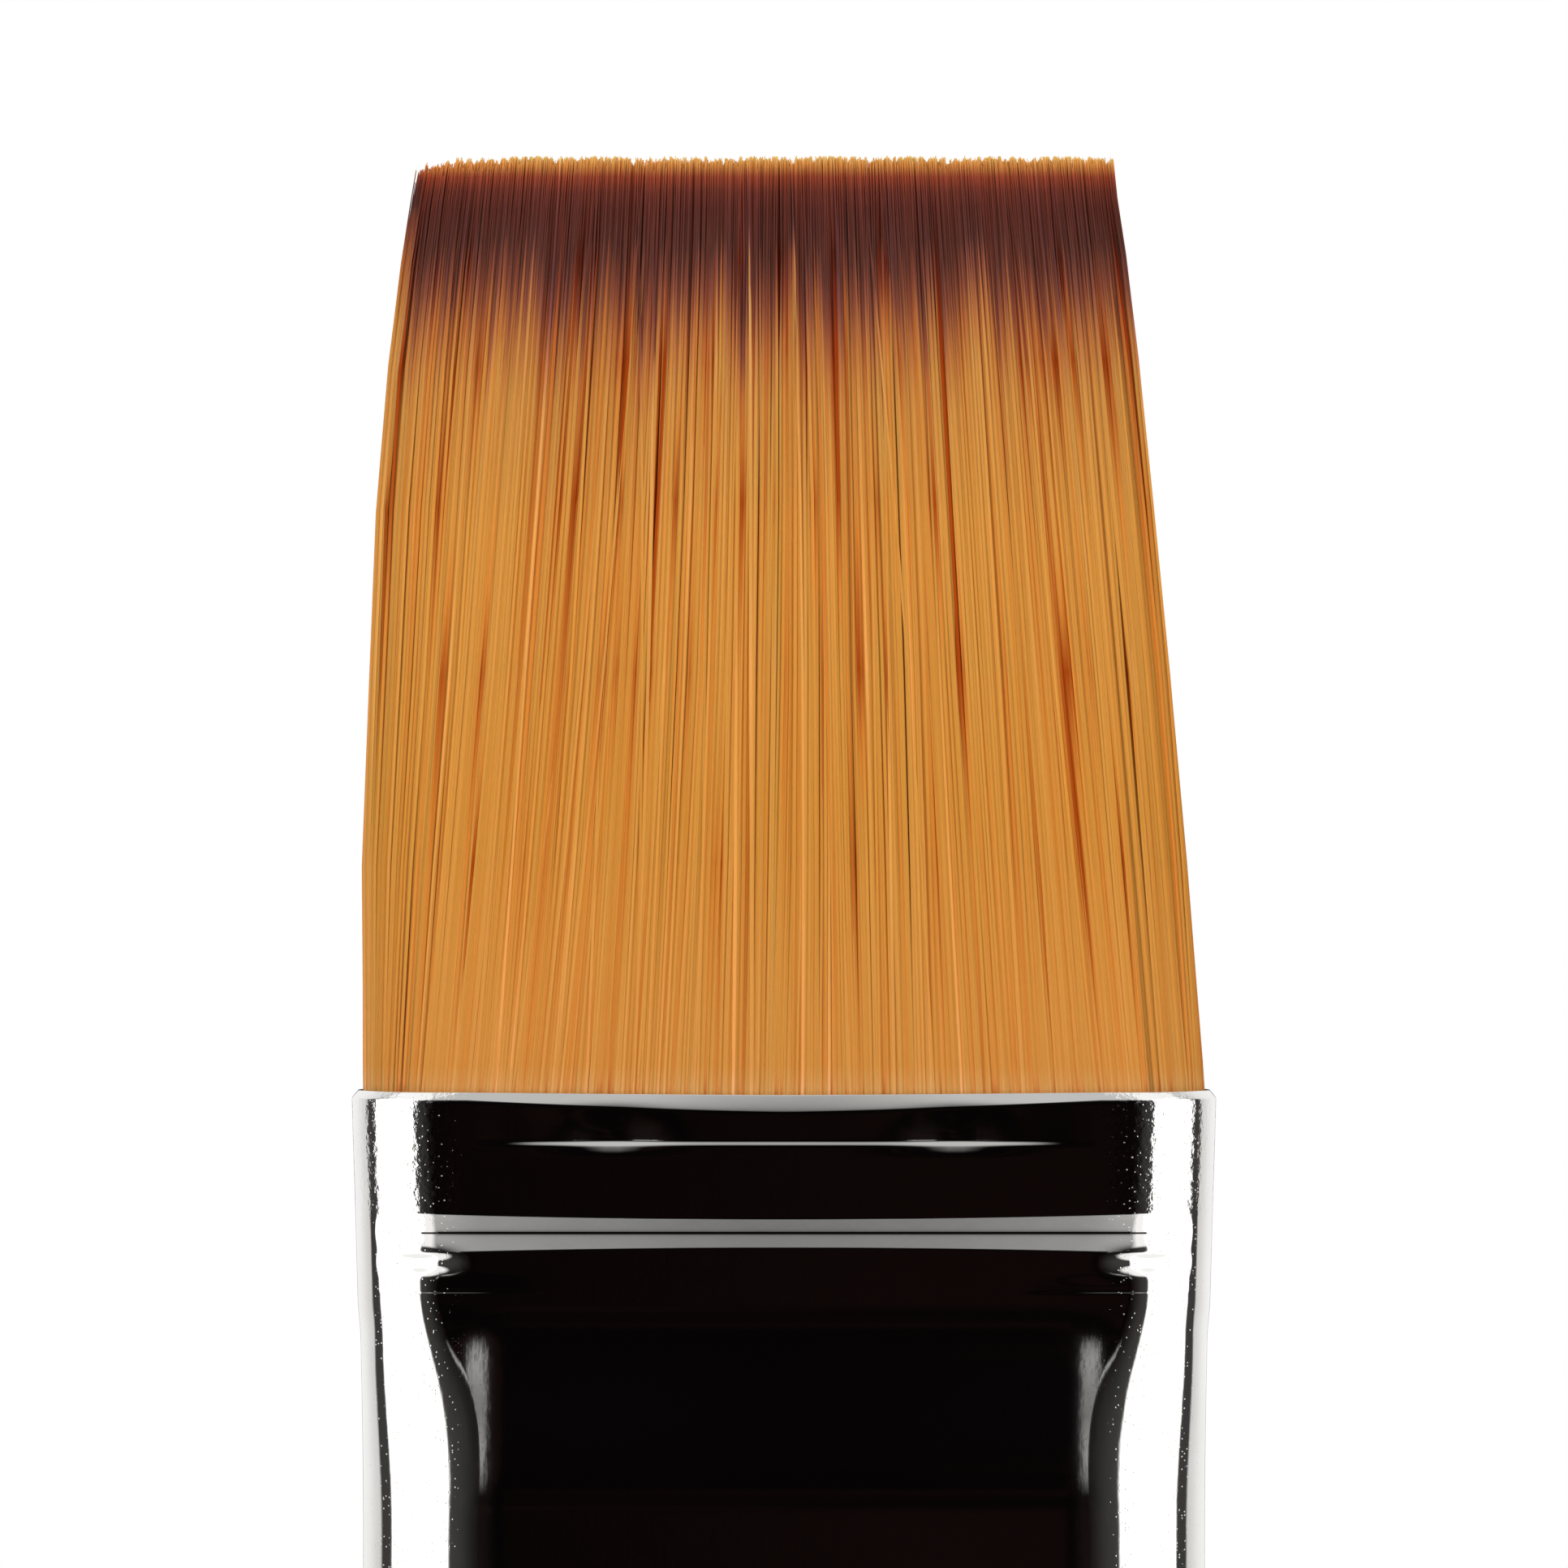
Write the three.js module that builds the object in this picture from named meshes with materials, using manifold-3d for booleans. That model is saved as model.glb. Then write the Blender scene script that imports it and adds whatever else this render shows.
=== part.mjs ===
// One-inch flat wash brush: golden synthetic filaments in a flattened, nickel-plated brass ferrule on a
// short turned hardwood handle. Millimetres, +Z up. The origin is the tip of the handle, the brush runs
// up along +Z to the filament tips, and its two broad faces look along -Y (front) and +Y (back).
import * as THREE from "three";
import { mergeVertices } from "three/addons/utils/BufferGeometryUtils.js";
import Module from "manifold-3d";

const wasm = await Module();
wasm.setup();

const { lerp, smoothstep, degToRad } = THREE.MathUtils;

// ---------------------------------------------------------------- driving dimensions

// Ferrule: a seamless tube, round at the handle and pressed flat at the mouth. Depths run down from the mouth.
const ferruleLength = 44;
const ferruleWall = 0.35;
const bodyWidth = 25.5; // across the narrow edges, below the flared mouth
const mouthFlare = 0.3; // what the mouth adds to each narrow edge
const flareDepth = 12;
const mouthThickness = 5.5; // over the broad faces, where they are pressed on the filaments
const bodyThickness = 7.2;
const swellDepth = 5.8; // where the faces begin to swell from mouth to body thickness
const swellHeight = 5.6;
const taperDepth = 16; // where the flat body begins to turn into the round collar
const collarDiameter = 13;
const collarLength = 8;

// Marks pressed into the ferrule.
const rimHeight = 0.5; // the rounded cut edge at the mouth
const rimInset = 0.2;
const lipHeight = 1.5; // the lip above the first fold line
const lipInset = 0.06;
const foldHeight = 0.2;
const grooveDepth = 4.35; // middle of the straight crimp across each broad face
const grooveHeight = 1;
const grooveBite = 0.25;
const crimpCount = 2; // round crimps that hold the handle
const crimpPitch = 2.8;
const crimpHeight = 1.2;
const crimpBite = 0.3;
const firstCrimpRise = 2.6; // from the lower edge of the collar to the middle of the first crimp

// Handle: turned hardwood, swelling to a belly below the ferrule and thinning to a rounded end.
const handleLength = 130; // rounded end to shoulder
const handleEndDiameter = 6.4;
const waistDiameter = 6.9;
const waistHeight = 24;
const midDiameter = 11.3; // halfway between waist and belly
const bellyDiameter = 14.8;
const bellyDrop = 22; // below the shoulder
const shoulderOverlap = 0.15; // how far the shoulder stands out past the collar
const tenonLength = 18;
const tenonChamfer = 0.8;

// Filaments: strands that each stand for a lock of filaments, in rows across the thickness.
const filamentLength = 28.2; // outside the ferrule
const leftDraw = 1.7; // how far each edge of the trimmed tip is drawn in from the mouth
const leftCurve = 2.65;
const rightDraw = 2.57;
const rightCurve = 1.3;
const tipThickness = 1.9; // the chisel edge
const thinningCurve = 1.4;
const strandColumns = 55;
const rowsPerLayer = 2;
const layerNames = ["bristles_front", "bristles_mid_front", "bristles_mid_back", "bristles_back"];
const bendShare = 0.55; // where along its length a strand bends
const rootFill = 0.76; // share of its cell, each way, that a strand spans at its root
const bendFill = 0.95; // and where it bends
const tipFill = 0.55; // and at its tip
const trimScatter = 0.35; // unevenness of the trimmed tips

// Inside the ferrule: bonded filament butts, resin plug, tie thread and the glue round the tenon.
const buttTop = 0.6; // depth where the bonded butts begin
const buttHeight = 5.9;
const tieDrop = 2.1; // from the end of the butts to the first turn of the thread
const threadDiameter = 0.5;
const threadPitch = 0.95;
const threadTurns = 4;
const plugTail = 2.1; // resin below the last turn
const glueOverEnd = 2; // glue above the tenon's end
const glueDownSide = 5; // and down its sides

// Clearances.
const fitGap = 0.2; // between the ferrule's bore and whatever fills it
const bondGap = 0.3; // between cured glue or thread and the piece that it grips
const layerGap = 0.1; // between two layers of filament butts

// ---------------------------------------------------------------- derived places

const mouthZ = handleLength + ferruleLength;
const heightAt = (depth) => mouthZ - depth;
const collarTop = ferruleLength - collarLength;
const crimpDepths = Array.from(
  { length: crimpCount },
  (_, i) => ferruleLength - firstCrimpRise - i * crimpPitch,
);
const buttBottom = buttTop + buttHeight;
const tieTop = buttBottom + tieDrop;
const tieBottom = tieTop + threadTurns * threadPitch;
const plugBottom = tieBottom + plugTail;
const tenonEnd = ferruleLength - tenonLength;
const strandRows = rowsPerLayer * layerNames.length;

// ---------------------------------------------------------------- ferrule form

// How far a pressed mark reaches into the wall at a depth: a half cosine, deepest in the middle.
function press(depth, middle, height, bite) {
  const share = Math.abs(depth - middle) / (height / 2);
  return share < 1 ? bite * Math.cos((share * Math.PI) / 2) : 0;
}

const grooveBiteAt = (depth) => press(depth, grooveDepth, grooveHeight, grooveBite);
const roundness = (depth) => smoothstep(depth, taperDepth, collarTop);
const collarCrimp = (depth) =>
  crimpDepths.reduce((sum, middle) => sum + press(depth, middle, crimpHeight, crimpBite), 0);

function halfWidthAt(depth) {
  const flat = bodyWidth / 2 + mouthFlare * (1 - smoothstep(depth, 0, flareDepth));
  return lerp(flat, collarDiameter / 2, roundness(depth)) - collarCrimp(depth);
}

function halfThicknessAt(depth) {
  const lip = lipInset * (1 - smoothstep(depth, lipHeight, lipHeight + foldHeight));
  const swell = smoothstep(depth, swellDepth, swellDepth + swellHeight);
  const flat = lerp(mouthThickness, bodyThickness, swell) / 2 - lip;
  return lerp(flat, collarDiameter / 2, roundness(depth)) - collarCrimp(depth);
}

// A ring of points round the ferrule's section. Each point lies between its place on a flat section with
// round ends and its place on an ellipse, so the section turns from flat to round down the ferrule.
const flatSteps = 8;
const endSteps = 8;
const flatSpread = degToRad(40); // the part of the ellipse, to each side of its middle, that a flat turns into

function section(halfWidth, halfThickness, round, faceBite = 0) {
  const flatHalf = halfWidth - halfThickness;
  const ring = [];
  for (const side of [-1, 1]) {
    for (let i = 0; i < flatSteps; i++) {
      const along = (2 * i) / flatSteps - 1;
      const bite = i === 0 ? 0 : faceBite;
      const angle = along * flatSpread;
      ring.push(
        new THREE.Vector2(
          -side * lerp(flatHalf * along, halfWidth * Math.sin(angle), round),
          side * (lerp(halfThickness, halfThickness * Math.cos(angle), round) - bite),
        ),
      );
    }
    for (let i = 0; i < endSteps; i++) {
      const flatAngle = (Math.PI * i) / endSteps;
      const roundAngle = lerp(flatSpread, Math.PI - flatSpread, i / endSteps);
      ring.push(
        new THREE.Vector2(
          -side * lerp(flatHalf + halfThickness * Math.sin(flatAngle), halfWidth * Math.sin(roundAngle), round),
          side * lerp(halfThickness * Math.cos(flatAngle), halfThickness * Math.cos(roundAngle), round),
        ),
      );
    }
  }
  return ring;
}

// The ferrule's section at a depth, drawn in by an inset all round, as points in space.
function ferruleRing(depth, inset) {
  const halfWidth = halfWidthAt(depth) - inset;
  const halfThickness = halfThicknessAt(depth) - inset;
  return lift(section(halfWidth, halfThickness, roundness(depth), grooveBiteAt(depth)), depth);
}

const lift = (ring, depth) => ring.map((p) => new THREE.Vector3(p.x, p.y, heightAt(depth)));

// Depths from start to end in equal steps, both ends included.
const steps = (start, end, count) => Array.from({ length: count + 1 }, (_, i) => lerp(start, end, i / count));

// The depths of the rings that the ferrule's form needs, below its rim.
const ferruleDepths = [
  rimHeight,
  lipHeight,
  lipHeight + foldHeight,
  ...steps(grooveDepth - grooveHeight / 2, grooveDepth + grooveHeight / 2, 4),
  ...steps(swellDepth, swellDepth + swellHeight, 4),
  ...steps(taperDepth, collarTop, 7),
  ...crimpDepths.flatMap((middle) => steps(middle - crimpHeight / 2, middle + crimpHeight / 2, 4)),
  ferruleLength,
].sort((a, b) => a - b);

const depthsBetween = (top, bottom) => [top, ...ferruleDepths.filter((d) => d > top && d < bottom), bottom];

// ---------------------------------------------------------------- solids from rings

// Triangles are lists of points, three to a triangle. Rings run anticlockwise seen from above, upwards.
function wall(rings) {
  const triangles = [];
  for (let r = 0; r + 1 < rings.length; r++) {
    const low = rings[r];
    const high = rings[r + 1];
    for (let i = 0; i < low.length; i++) {
      const next = (i + 1) % low.length;
      triangles.push(low[i], low[next], high[next], low[i], high[next], high[i]);
    }
  }
  return triangles;
}

// A flat lid over a ring, facing up; a ring in reverse order makes it face down.
function lid(ring) {
  const triangles = [];
  for (let i = 1; i + 1 < ring.length; i++) {
    triangles.push(ring[0], ring[i], ring[i + 1]);
  }
  return triangles;
}

const mergeTolerance = 1e-4;

// One closed surface from patches that meet along their edges.
function closed(...patches) {
  const loose = new THREE.BufferGeometry().setFromPoints(patches.flat());
  return mergeVertices(loose, mergeTolerance);
}

const capped = (rings) => closed(lid([...rings[0]].reverse()), wall(rings), lid(rings.at(-1)));

function solidOf(geometry) {
  const bare = geometry.clone().deleteAttribute("normal").deleteAttribute("uv");
  const merged = mergeVertices(bare, mergeTolerance);
  return new wasm.Manifold(
    new wasm.Mesh({
      numProp: 3,
      vertProperties: new Float32Array(merged.attributes.position.array),
      triVerts: new Uint32Array(merged.index.array),
    }),
  );
}

function geometryOf(solid) {
  const mesh = solid.getMesh();
  return new THREE.BufferGeometry()
    .setAttribute("position", new THREE.BufferAttribute(new Float32Array(mesh.vertProperties), 3))
    .setIndex(new THREE.BufferAttribute(new Uint32Array(mesh.triVerts), 1));
}

const turnedSides = 26;

// A profile of [radius, height] points, turned about the brush's axis.
function turned(profile) {
  const points = profile.map(([radius, height]) => new THREE.Vector2(radius, height));
  return new THREE.LatheGeometry(points, turnedSides).rotateX(Math.PI / 2);
}

// What fills the ferrule's bore between two depths, clear of its wall.
const boreRing = (depth) => ferruleRing(depth, ferruleWall + fitGap);
const boreFill = (top, bottom) => capped(depthsBetween(top, bottom).reverse().map(boreRing));

// ---------------------------------------------------------------- ferrule

function ferrule() {
  const outside = [...ferruleDepths].reverse().map((depth) => ferruleRing(depth, 0));
  const rim = [1 / 3, 0].map((share) => ferruleRing(rimHeight * share, rimInset * (1 - share) ** 2));
  const belowFold = ferruleDepths.filter((depth) => depth > lipHeight + foldHeight);
  const inside = [0, ...belowFold].map((depth) => ferruleRing(depth, ferruleWall));
  return closed(wall([...outside, ...rim, ...inside, outside[0]]));
}

// ---------------------------------------------------------------- handle

// The radius of a round tenon that fills the bore across the ferrule's thickness, its narrower way.
const tenonRadiusAt = (depth) => halfThicknessAt(depth) - ferruleWall - fitGap;

// The tenon's outline from the shoulder up, grown by what is added to it.
function tenonOutline(grown) {
  const depths = depthsBetween(tenonEnd + tenonChamfer, ferruleLength).reverse();
  return [
    ...depths.map((depth) => [tenonRadiusAt(depth) + grown, heightAt(depth)]),
    [tenonRadiusAt(tenonEnd) - tenonChamfer + grown, heightAt(tenonEnd) + grown],
    [0, heightAt(tenonEnd) + grown],
  ];
}

const domeSteps = 5;
const swellSteps = 18;

function handle() {
  const endRadius = handleEndDiameter / 2;
  const shoulderRadius = collarDiameter / 2 + shoulderOverlap;
  const bellyHeight = handleLength - bellyDrop;
  const dome = steps(0, Math.PI / 2, domeSteps)
    .slice(0, -1)
    .map((angle) => [endRadius * Math.sin(angle), endRadius * (1 - Math.cos(angle))]);
  const swell = new THREE.SplineCurve([
    new THREE.Vector2(endRadius, endRadius),
    new THREE.Vector2(waistDiameter / 2, waistHeight),
    new THREE.Vector2(midDiameter / 2, (waistHeight + bellyHeight) / 2),
    new THREE.Vector2(bellyDiameter / 2, bellyHeight),
    new THREE.Vector2(shoulderRadius, handleLength),
  ]);
  const outside = swell.getPoints(swellSteps).map((p) => [p.x, p.y]);
  return turned([...dome, ...outside, ...tenonOutline(0)]);
}

// ---------------------------------------------------------------- filaments

// A repeatable value from 0 to 1 for a strand: what follows the point in a large multiple of a sine.
function scatter(column, row) {
  const wave = 43758.5453 * Math.sin(12.9898 * column + 78.233 * row);
  return wave - Math.floor(wave);
}

const rootHalfWidth = halfWidthAt(buttTop) - ferruleWall - fitGap;
const rootHalfThickness = halfThicknessAt(buttTop) - ferruleWall - fitGap;

// The tuft at a share of its free length from the bonded butts, 0, to the tips, 1: its middle and half sizes.
// Its left edge curves in towards the tips and its right edge runs almost straight, so it leans a little.
function tuftAt(share) {
  const left = -rootHalfWidth + leftDraw * share ** leftCurve;
  const right = rootHalfWidth - rightDraw * share ** rightCurve;
  return {
    middle: (left + right) / 2,
    halfWidth: (right - left) / 2,
    halfThickness: lerp(rootHalfThickness, tipThickness / 2, share ** thinningCurve),
  };
}

// One strand: the three rings of a three-sided rod, from the bonded butts to its trimmed tip.
function strand(column, row) {
  const u = (2 * column + 1) / strandColumns - 1;
  const v = (2 * row + 1) / strandRows - 1;
  const outer = Math.abs(v) + 1 / strandRows;
  const twist = 2 * Math.PI * scatter(row, column);
  const ring = (share, height, size) => {
    const tuft = tuftAt(share);
    const endRound = tuft.halfThickness * (1 - Math.sqrt(1 - outer * outer));
    const x = tuft.middle + u * (tuft.halfWidth - endRound);
    const y = v * tuft.halfThickness;
    const halfX = (size * (tuft.halfWidth - endRound)) / strandColumns;
    const halfY = (size * tuft.halfThickness) / strandRows;
    return [0, 1, 2].map((corner) => {
      const angle = twist + (corner * 2 * Math.PI) / 3;
      return new THREE.Vector3(x + halfX * Math.cos(angle), y + halfY * Math.sin(angle), height);
    });
  };
  const root = heightAt(buttTop);
  const tip = mouthZ + filamentLength - trimScatter * scatter(column, row);
  return [
    ring(0, root, rootFill),
    ring(bendShare, lerp(root, tip, bendShare), bendFill),
    ring(1, tip, tipFill),
  ];
}

const sliceSteps = 3;

// A layer's slice of the bore at a depth: its right edge from front to back, then its left from back to front.
function sliceRing(layer, depth) {
  const halfWidth = halfWidthAt(depth) - ferruleWall - fitGap;
  const halfThickness = halfThicknessAt(depth) - ferruleWall - fitGap - grooveBiteAt(depth);
  const layers = layerNames.length;
  const front = ((2 * layer) / layers - 1) * halfThickness + (layer > 0 ? layerGap / 2 : 0);
  const back = ((2 * layer + 2) / layers - 1) * halfThickness - (layer < layers - 1 ? layerGap / 2 : 0);
  const edge = steps(front, back, sliceSteps).map((y) => {
    const bulge = Math.sqrt(Math.max(0, halfThickness ** 2 - y ** 2));
    return new THREE.Vector2(halfWidth - halfThickness + bulge, y);
  });
  const mirrored = edge.map((p) => new THREE.Vector2(-p.x, p.y)).reverse();
  return lift([...edge, ...mirrored], depth);
}

// One layer of the tuft: its rows of strands, grown out of the slice of bonded butts that they stand in.
function bristleLayer(layer) {
  const slice = depthsBetween(buttTop, buttBottom).reverse().map((depth) => sliceRing(layer, depth));
  const top = slice.at(-1);
  const strands = [];
  for (let row = layer * rowsPerLayer; row < (layer + 1) * rowsPerLayer; row++) {
    for (let column = 0; column < strandColumns; column++) {
      strands.push(strand(column, row));
    }
  }
  const roots = strands.map((rings) => rings[0]);
  const corners = [top, ...roots].flat();
  const field = THREE.ShapeUtils.triangulateShape(top, roots).flatMap((face) => face.map((i) => corners[i]));
  const rods = strands.flatMap((rings) => [wall(rings), lid(rings.at(-1))]);
  return closed(lid([...slice[0]].reverse()), wall(slice), field, ...rods);
}

// ---------------------------------------------------------------- inside the ferrule

// The waist of the resin plug that the thread is wound on.
const waistHalfWidth = halfWidthAt(tieBottom) - ferruleWall - fitGap - threadDiameter - bondGap;
const waistHalfThickness = halfThicknessAt(tieTop) - ferruleWall - fitGap - threadDiameter - bondGap;

function resinPlug() {
  const waistTop = tieTop - threadDiameter / 2 - bondGap;
  const waistBottom = tieBottom + threadDiameter / 2 + bondGap;
  const waist = (depth) => lift(section(waistHalfWidth, waistHalfThickness, 0), depth);
  const rings = [
    ...depthsBetween(buttBottom, waistTop).map(boreRing),
    waist(waistTop),
    waist(waistBottom),
    ...depthsBetween(waistBottom, plugBottom).map(boreRing),
  ];
  return capped(rings.reverse());
}

const bendSteps = 6;
const threadSides = 6;

// The path of the tie thread: half turns of a straight run and a round bend, sinking at a steady rate.
function tiePath() {
  const flatHalf = waistHalfWidth - waistHalfThickness;
  const bend = waistHalfThickness + bondGap + threadDiameter / 2;
  const straight = 2 * flatHalf;
  const halfTurn = straight + Math.PI * bend;
  const path = [];
  for (let half = 0; half < 2 * threadTurns; half++) {
    const side = half % 2 ? -1 : 1;
    for (const angle of steps(0, Math.PI, bendSteps)) {
      const outward = new THREE.Vector3(side * Math.sin(angle), -side * Math.cos(angle), 0);
      const travelled = half + (straight + bend * angle) / halfTurn;
      const centre = outward.clone().multiplyScalar(bend);
      centre.x += side * flatHalf;
      centre.z = heightAt(tieTop + (threadPitch * travelled) / 2);
      path.push({ centre, outward });
    }
  }
  return path;
}

// The least gap between the thread's turns, measured between points of its path at least half a turn apart.
function leastGap(path) {
  const halfTurn = path.length / threadTurns / 2;
  let least = Infinity;
  path.forEach((a, i) => {
    for (const b of path.slice(Math.ceil(i + halfTurn))) {
      least = Math.min(least, a.centre.distanceTo(b.centre));
    }
  });
  return least - threadDiameter;
}

function tieThread() {
  const path = tiePath();
  console.log(`tie thread: least gap to itself ${leastGap(path).toFixed(2)} mm`);
  const radius = threadDiameter / 2;
  const rings = path.map(({ centre, outward }) =>
    Array.from({ length: threadSides }, (_, i) => {
      const angle = (-2 * Math.PI * i) / threadSides;
      const point = centre.clone().addScaledVector(outward, radius * Math.cos(angle));
      return point.setZ(centre.z + radius * Math.sin(angle));
    }),
  );
  return capped(rings);
}

// Glue that squeezed up past the round tenon into the flatter bore, so it sits beside and over its end.
function tenonGlue() {
  const fill = solidOf(boreFill(tenonEnd - glueOverEnd, tenonEnd + glueDownSide));
  const tenon = solidOf(turned([[0, heightAt(ferruleLength)], ...tenonOutline(bondGap)]));
  return geometryOf(fill.subtract(tenon));
}

// ---------------------------------------------------------------- assembly

const filament = new THREE.MeshStandardMaterial({ color: 0xd0893b, roughness: 0.4, metalness: 0 });
const nickel = new THREE.MeshStandardMaterial({ color: 0xd6d5d1, roughness: 0.08, metalness: 1 });
const lacqueredWood = new THREE.MeshStandardMaterial({ color: 0x3a1410, roughness: 0.15, metalness: 0 });
const resin = new THREE.MeshStandardMaterial({ color: 0xb58a4c, roughness: 0.3, metalness: 0 });
const thread = new THREE.MeshStandardMaterial({ color: 0xe4ddcb, roughness: 0.85, metalness: 0 });
const glue = new THREE.MeshStandardMaterial({ color: 0xd9c48d, roughness: 0.4, metalness: 0 });

const brush = new THREE.Group();

function place(name, geometry, material) {
  const mesh = new THREE.Mesh(geometry, material);
  mesh.name = name;
  brush.add(mesh);
}

place("handle", handle(), lacqueredWood);
place("ferrule", ferrule(), nickel);
place("tenon_glue", tenonGlue(), glue);
place("resin_plug", resinPlug(), resin);
place("tie_thread", tieThread(), thread);
layerNames.forEach((name, layer) => place(name, bristleLayer(layer), filament));

export default brush;
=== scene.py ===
import math

import bpy
import numpy as np
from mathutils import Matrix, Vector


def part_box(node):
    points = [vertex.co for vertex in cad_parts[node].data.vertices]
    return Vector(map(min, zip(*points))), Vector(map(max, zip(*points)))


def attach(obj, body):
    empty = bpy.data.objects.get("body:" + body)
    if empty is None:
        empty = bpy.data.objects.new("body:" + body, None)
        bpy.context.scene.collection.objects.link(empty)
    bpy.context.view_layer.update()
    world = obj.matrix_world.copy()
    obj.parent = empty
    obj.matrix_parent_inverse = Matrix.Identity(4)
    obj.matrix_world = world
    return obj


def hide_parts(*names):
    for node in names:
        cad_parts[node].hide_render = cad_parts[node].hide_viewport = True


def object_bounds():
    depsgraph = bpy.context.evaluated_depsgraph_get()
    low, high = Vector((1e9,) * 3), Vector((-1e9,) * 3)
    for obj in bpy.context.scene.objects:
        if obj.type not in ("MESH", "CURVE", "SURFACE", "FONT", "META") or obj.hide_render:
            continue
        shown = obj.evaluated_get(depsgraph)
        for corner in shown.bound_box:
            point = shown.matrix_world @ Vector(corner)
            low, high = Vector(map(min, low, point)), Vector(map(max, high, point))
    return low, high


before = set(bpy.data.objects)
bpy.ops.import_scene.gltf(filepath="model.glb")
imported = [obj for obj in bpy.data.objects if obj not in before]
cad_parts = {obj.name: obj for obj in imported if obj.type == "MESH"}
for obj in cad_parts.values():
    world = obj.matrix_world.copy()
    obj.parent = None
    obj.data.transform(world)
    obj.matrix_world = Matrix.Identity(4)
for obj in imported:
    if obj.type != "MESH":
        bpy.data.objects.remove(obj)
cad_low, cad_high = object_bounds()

# ------------------------------------------------------------------------------------------------------
# Camera. It looks level along +Y at the head of the brush, from close up, and takes in the whole tuft and
# the upper third of the ferrule.
# ------------------------------------------------------------------------------------------------------

mm = 0.001
scene = bpy.context.scene
ferrule_low, ferrule_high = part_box("ferrule")
mouth = ferrule_high.z

view_field = 47.3 * mm  # across the square frame, at the middle of the brush's thickness
view_distance = 320 * mm
view_rise = 9.3 * mm  # of the middle of the frame above the ferrule's mouth

camera_data = bpy.data.cameras.new("camera")
camera_data.sensor_width = 36
camera_data.lens = camera_data.sensor_width * view_distance / view_field
camera_data.clip_start = 0.01
camera = bpy.data.objects.new("camera", camera_data)
camera.location = (0, -view_distance, mouth + view_rise)
camera.rotation_euler = (math.radians(90), 0, 0)
scene.collection.objects.link(camera)
scene.camera = camera
scene.view_settings.view_transform = "Standard"

# ------------------------------------------------------------------------------------------------------
# Studio. White paper stands behind, two tall soft lights beside the camera, a dim one overhead and another
# low in front, and the room ahead is dark: the plated tube mirrors them all. The floor is pale matt paper.
# ------------------------------------------------------------------------------------------------------


def add(tree, kind, inputs=None, **settings):
    """Adds a shader node, sets its properties, and fills each input with a value or links it to a socket."""
    node = tree.nodes.new(kind)
    for name, value in settings.items():
        setattr(node, name, value)
    for name, value in (inputs or {}).items():
        if isinstance(value, bpy.types.NodeSocket):
            tree.links.new(value, node.inputs[name])
        else:
            node.inputs[name].default_value = value
    return node


def math_node(tree, operation, *values):
    """Adds a Math node and returns its result."""
    return add(tree, "ShaderNodeMath", dict(enumerate(values)), operation=operation).outputs[0]


def rise(tree, value, low, high, start=0.0, finish=1.0):
    """Adds nodes that go smoothly from start to finish as a value goes from low to high."""
    limits = {0: value, 1: low, 2: high, 3: start, 4: finish}
    return add(tree, "ShaderNodeMapRange", limits, interpolation_type="SMOOTHSTEP").outputs[0]


def band(tree, value, low, high, soft):
    """Adds nodes that give 1 where a value lies between two limits and fall to 0 over a soft edge."""
    fall = rise(tree, value, high - soft, high + soft, 1.0, 0.0)
    return math_node(tree, "MULTIPLY", rise(tree, value, low - soft, low + soft), fall)


def mixed(tree, blend, factor, first, second):
    """Adds a colour mix and returns its result."""
    inputs = {"Factor": factor, 6: first, 7: second}
    return add(tree, "ShaderNodeMix", inputs, data_type="RGBA", blend_type=blend).outputs[2]


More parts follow.
